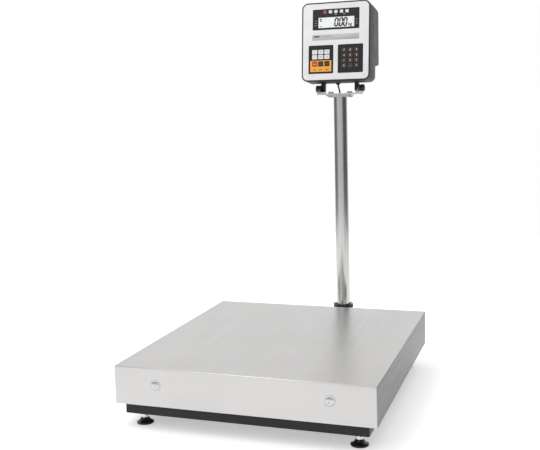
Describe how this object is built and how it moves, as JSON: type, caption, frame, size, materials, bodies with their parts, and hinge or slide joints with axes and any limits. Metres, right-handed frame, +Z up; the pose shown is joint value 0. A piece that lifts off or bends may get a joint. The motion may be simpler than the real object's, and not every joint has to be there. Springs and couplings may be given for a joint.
{
  "type": "animal weighing scale",
  "caption": "Low platform scale for animals: stainless pan on one load cell and four levelling feet, with a tilting keypad indicator on a column behind the pan.",
  "frame": {"origin": "on the floor, at the middle of the whole object's outline", "axes": "+Z up, +X to the right of the person who reads the indicator, +Y away from them, from the pan towards the column"},
  "size_m": [0.6, 0.7848, 0.9927],
  "materials": {
    "frame_paint": "black semi-gloss powder coat",
    "zinc_steel": "zinc-plated steel fasteners",
    "cell_alloy": "machined and anodised aluminium",
    "level_vial": "clear vial with a green-yellow liquid",
    "stainless_tube": "drawn stainless tube, fine lengthwise brushing",
    "bracket_steel": "matt stainless sheet",
    "cable_sheath": "matt black PVC sheath",
    "stainless_sheet": "brushed stainless sheet, grain front to back on top",
    "black_rubber": "matt black rubber",
    "bright_screw": "bright stainless screws",
    "case_plastic": "fine-textured black moulded plastic",
    "silver_panel": "pale pearl-silver lacquered panel",
    "window_black": "glossy black-bordered window",
    "lcd_white": "white reflective liquid-crystal display",
    "lamp_white": "diffusing lamp lenses",
    "keypad_black": "satin black keypad bezel",
    "circuit_board": "green solder-masked board",
    "connector_black": "black nylon grommet and socket caps",
    "knob_plastic": "black moulded knob",
    "foot_plastic": "glossy hard black rubber pad",
    "foot_steel": "bright plated steel stud",
    "white_key": "white key cap",
    "red_key": "red key cap",
    "black_key": "black key cap",
    "digit_key": "dark brown-black key cap with pale digits"
  },
  "bodies": {
    "root": {"base_frame": "frame_paint", "foot_nuts": "zinc_steel", "overload_stops": "zinc_steel", "load_cell": "cell_alloy", "load_cell_bolts": "zinc_steel", "column_bracket": "frame_paint", "spirit_level": "level_vial", "column": "stainless_tube", "column_collar": "frame_paint", "column_bolts": "zinc_steel", "head_bracket": "bracket_steel", "head_bracket_bolts": "zinc_steel", "load_cell_cable": "cable_sheath"},
    "platform": {"weighing_pan": "stainless_sheet", "pan_frame": "frame_paint", "pan_pads": "black_rubber", "pan_screws": "bright_screw", "pan_frame_bolts": "zinc_steel"},
    "head": {"rear_case": "case_plastic", "front_panel": "silver_panel", "case_gasket": "black_rubber", "panel_screws": "bright_screw", "display_window": "window_black", "lcd_module": "lcd_white", "indicator_lamps": "lamp_white", "keypad_left": "keypad_black", "keypad_right": "keypad_black", "main_board": "circuit_board", "case_connectors": "connector_black"},
    "tilt_knob_left": {"tilt_knob_left": "knob_plastic"},
    "tilt_knob_right": {"tilt_knob_right": "knob_plastic"},
    "foot_pad_front_left": {"foot_pad_front_left": "foot_plastic"},
    "foot_stud_front_left": {"foot_stud_front_left": "foot_steel"},
    "foot_pad_front_right": {"foot_pad_front_right": "foot_plastic"},
    "foot_stud_front_right": {"foot_stud_front_right": "foot_steel"},
    "foot_pad_rear_left": {"foot_pad_rear_left": "foot_plastic"},
    "foot_stud_rear_left": {"foot_stud_rear_left": "foot_steel"},
    "foot_pad_rear_right": {"foot_pad_rear_right": "foot_plastic"},
    "foot_stud_rear_right": {"foot_stud_rear_right": "foot_steel"},
    "function_key_1": {"function_key_1": "white_key"},
    "function_key_2": {"function_key_2": "white_key"},
    "function_key_3": {"function_key_3": "white_key"},
    "function_key_4": {"function_key_4": "white_key"},
    "function_key_5": {"function_key_5": "white_key"},
    "function_key_6": {"function_key_6": "white_key"},
    "action_key_1": {"action_key_1": "red_key"},
    "action_key_2": {"action_key_2": "black_key"},
    "action_key_3": {"action_key_3": "black_key"},
    "digit_key_1": {"digit_key_1": "digit_key"},
    "digit_key_2": {"digit_key_2": "digit_key"},
    "digit_key_3": {"digit_key_3": "digit_key"},
    "digit_key_4": {"digit_key_4": "digit_key"},
    "digit_key_5": {"digit_key_5": "digit_key"},
    "digit_key_6": {"digit_key_6": "digit_key"},
    "digit_key_7": {"digit_key_7": "digit_key"},
    "digit_key_8": {"digit_key_8": "digit_key"},
    "digit_key_9": {"digit_key_9": "digit_key"},
    "digit_key_10": {"digit_key_10": "digit_key"},
    "digit_key_11": {"digit_key_11": "digit_key"},
    "digit_key_12": {"digit_key_12": "digit_key"}
  },
  "joints": [
    {"name": "platform_deflection", "type": "slide", "parent": "root", "child": "platform", "axis": [0, 0, 1], "range_m": [-0.0005, 0], "stiffness_N_per_m": 2000000, "springref_m": 0.00007, "deforming": ["load_cell"]},
    {"name": "head_tilt", "type": "hinge", "parent": "root", "child": "head", "pos_m": [0.054, 0.32259, 0.759], "axis": [-1, 0, 0], "range_deg": [-8, 24], "deforming": ["load_cell_cable"]},
    {"name": "knob_left_spin", "type": "hinge", "parent": "head", "child": "tilt_knob_left", "pos_m": [0.054, 0.32259, 0.759], "axis": [-1, 0, 0], "continuous": true},
    {"name": "knob_right_spin", "type": "hinge", "parent": "head", "child": "tilt_knob_right", "pos_m": [0.054, 0.32259, 0.759], "axis": [1, 0, 0], "continuous": true},
    {"name": "foot_front_left_height", "type": "slide", "parent": "root", "child": "foot_pad_front_left", "axis": [0, 0, 1], "range_m": [-0.008, 0.005]},
    {"name": "foot_front_left_turn", "type": "hinge", "parent": "foot_pad_front_left", "child": "foot_stud_front_left", "pos_m": [-0.252, -0.34341, 0.02], "axis": [0, 0, 1], "range_deg": [-1925, 1205]},
    {"name": "foot_front_right_height", "type": "slide", "parent": "root", "child": "foot_pad_front_right", "axis": [0, 0, 1], "range_m": [-0.008, 0.005]},
    {"name": "foot_front_right_turn", "type": "hinge", "parent": "foot_pad_front_right", "child": "foot_stud_front_right", "pos_m": [0.252, -0.34341, 0.02], "axis": [0, 0, 1], "range_deg": [-1925, 1205]},
    {"name": "foot_rear_left_height", "type": "slide", "parent": "root", "child": "foot_pad_rear_left", "axis": [0, 0, 1], "range_m": [-0.008, 0.005]},
    {"name": "foot_rear_left_turn", "type": "hinge", "parent": "foot_pad_rear_left", "child": "foot_stud_rear_left", "pos_m": [-0.252, 0.21459, 0.02], "axis": [0, 0, 1], "range_deg": [-1925, 1205]},
    {"name": "foot_rear_right_height", "type": "slide", "parent": "root", "child": "foot_pad_rear_right", "axis": [0, 0, 1], "range_m": [-0.008, 0.005]},
    {"name": "foot_rear_right_turn", "type": "hinge", "parent": "foot_pad_rear_right", "child": "foot_stud_rear_right", "pos_m": [0.252, 0.21459, 0.02], "axis": [0, 0, 1], "range_deg": [-1925, 1205]},
    {"name": "function_key_1_press", "type": "slide", "parent": "head", "child": "function_key_1", "axis": [0, 0.9945, -0.1045], "range_m": [0, 0.0005], "stiffness_N_per_m": 600, "springref_m": -0.002},
    {"name": "function_key_2_press", "type": "slide", "parent": "head", "child": "function_key_2", "axis": [0, 0.9945, -0.1045], "range_m": [0, 0.0005], "stiffness_N_per_m": 600, "springref_m": -0.002},
    {"name": "function_key_3_press", "type": "slide", "parent": "head", "child": "function_key_3", "axis": [0, 0.9945, -0.1045], "range_m": [0, 0.0005], "stiffness_N_per_m": 600, "springref_m": -0.002},
    {"name": "function_key_4_press", "type": "slide", "parent": "head", "child": "function_key_4", "axis": [0, 0.9945, -0.1045], "range_m": [0, 0.0005], "stiffness_N_per_m": 600, "springref_m": -0.002},
    {"name": "function_key_5_press", "type": "slide", "parent": "head", "child": "function_key_5", "axis": [0, 0.9945, -0.1045], "range_m": [0, 0.0005], "stiffness_N_per_m": 600, "springref_m": -0.002},
    {"name": "function_key_6_press", "type": "slide", "parent": "head", "child": "function_key_6", "axis": [0, 0.9945, -0.1045], "range_m": [0, 0.0005], "stiffness_N_per_m": 600, "springref_m": -0.002},
    {"name": "action_key_1_press", "type": "slide", "parent": "head", "child": "action_key_1", "axis": [0, 0.9945, -0.1045], "range_m": [0, 0.0005], "stiffness_N_per_m": 600, "springref_m": -0.002},
    {"name": "action_key_2_press", "type": "slide", "parent": "head", "child": "action_key_2", "axis": [0, 0.9945, -0.1045], "range_m": [0, 0.0005], "stiffness_N_per_m": 600, "springref_m": -0.002},
    {"name": "action_key_3_press", "type": "slide", "parent": "head", "child": "action_key_3", "axis": [0, 0.9945, -0.1045], "range_m": [0, 0.0005], "stiffness_N_per_m": 600, "springref_m": -0.002},
    {"name": "digit_key_1_press", "type": "slide", "parent": "head", "child": "digit_key_1", "axis": [0, 0.9945, -0.1045], "range_m": [0, 0.0005], "stiffness_N_per_m": 600, "springref_m": -0.002},
    {"name": "digit_key_2_press", "type": "slide", "parent": "head", "child": "digit_key_2", "axis": [0, 0.9945, -0.1045], "range_m": [0, 0.0005], "stiffness_N_per_m": 600, "springref_m": -0.002},
    {"name": "digit_key_3_press", "type": "slide", "parent": "head", "child": "digit_key_3", "axis": [0, 0.9945, -0.1045], "range_m": [0, 0.0005], "stiffness_N_per_m": 600, "springref_m": -0.002},
    {"name": "digit_key_4_press", "type": "slide", "parent": "head", "child": "digit_key_4", "axis": [0, 0.9945, -0.1045], "range_m": [0, 0.0005], "stiffness_N_per_m": 600, "springref_m": -0.002},
    {"name": "digit_key_5_press", "type": "slide", "parent": "head", "child": "digit_key_5", "axis": [0, 0.9945, -0.1045], "range_m": [0, 0.0005], "stiffness_N_per_m": 600, "springref_m": -0.002},
    {"name": "digit_key_6_press", "type": "slide", "parent": "head", "child": "digit_key_6", "axis": [0, 0.9945, -0.1045], "range_m": [0, 0.0005], "stiffness_N_per_m": 600, "springref_m": -0.002},
    {"name": "digit_key_7_press", "type": "slide", "parent": "head", "child": "digit_key_7", "axis": [0, 0.9945, -0.1045], "range_m": [0, 0.0005], "stiffness_N_per_m": 600, "springref_m": -0.002},
    {"name": "digit_key_8_press", "type": "slide", "parent": "head", "child": "digit_key_8", "axis": [0, 0.9945, -0.1045], "range_m": [0, 0.0005], "stiffness_N_per_m": 600, "springref_m": -0.002},
    {"name": "digit_key_9_press", "type": "slide", "parent": "head", "child": "digit_key_9", "axis": [0, 0.9945, -0.1045], "range_m": [0, 0.0005], "stiffness_N_per_m": 600, "springref_m": -0.002},
    {"name": "digit_key_10_press", "type": "slide", "parent": "head", "child": "digit_key_10", "axis": [0, 0.9945, -0.1045], "range_m": [0, 0.0005], "stiffness_N_per_m": 600, "springref_m": -0.002},
    {"name": "digit_key_11_press", "type": "slide", "parent": "head", "child": "digit_key_11", "axis": [0, 0.9945, -0.1045], "range_m": [0, 0.0005], "stiffness_N_per_m": 600, "springref_m": -0.002},
    {"name": "digit_key_12_press", "type": "slide", "parent": "head", "child": "digit_key_12", "axis": [0, 0.9945, -0.1045], "range_m": [0, 0.0005], "stiffness_N_per_m": 600, "springref_m": -0.002}
  ],
  "couplings": [
    {"joint": "foot_front_left_turn", "follows": "foot_front_left_height", "rad_per_m": 4188.8},
    {"joint": "foot_front_right_turn", "follows": "foot_front_right_height", "rad_per_m": 4188.8},
    {"joint": "foot_rear_left_turn", "follows": "foot_rear_left_height", "rad_per_m": 4188.8},
    {"joint": "foot_rear_right_turn", "follows": "foot_rear_right_height", "rad_per_m": 4188.8}
  ]
}
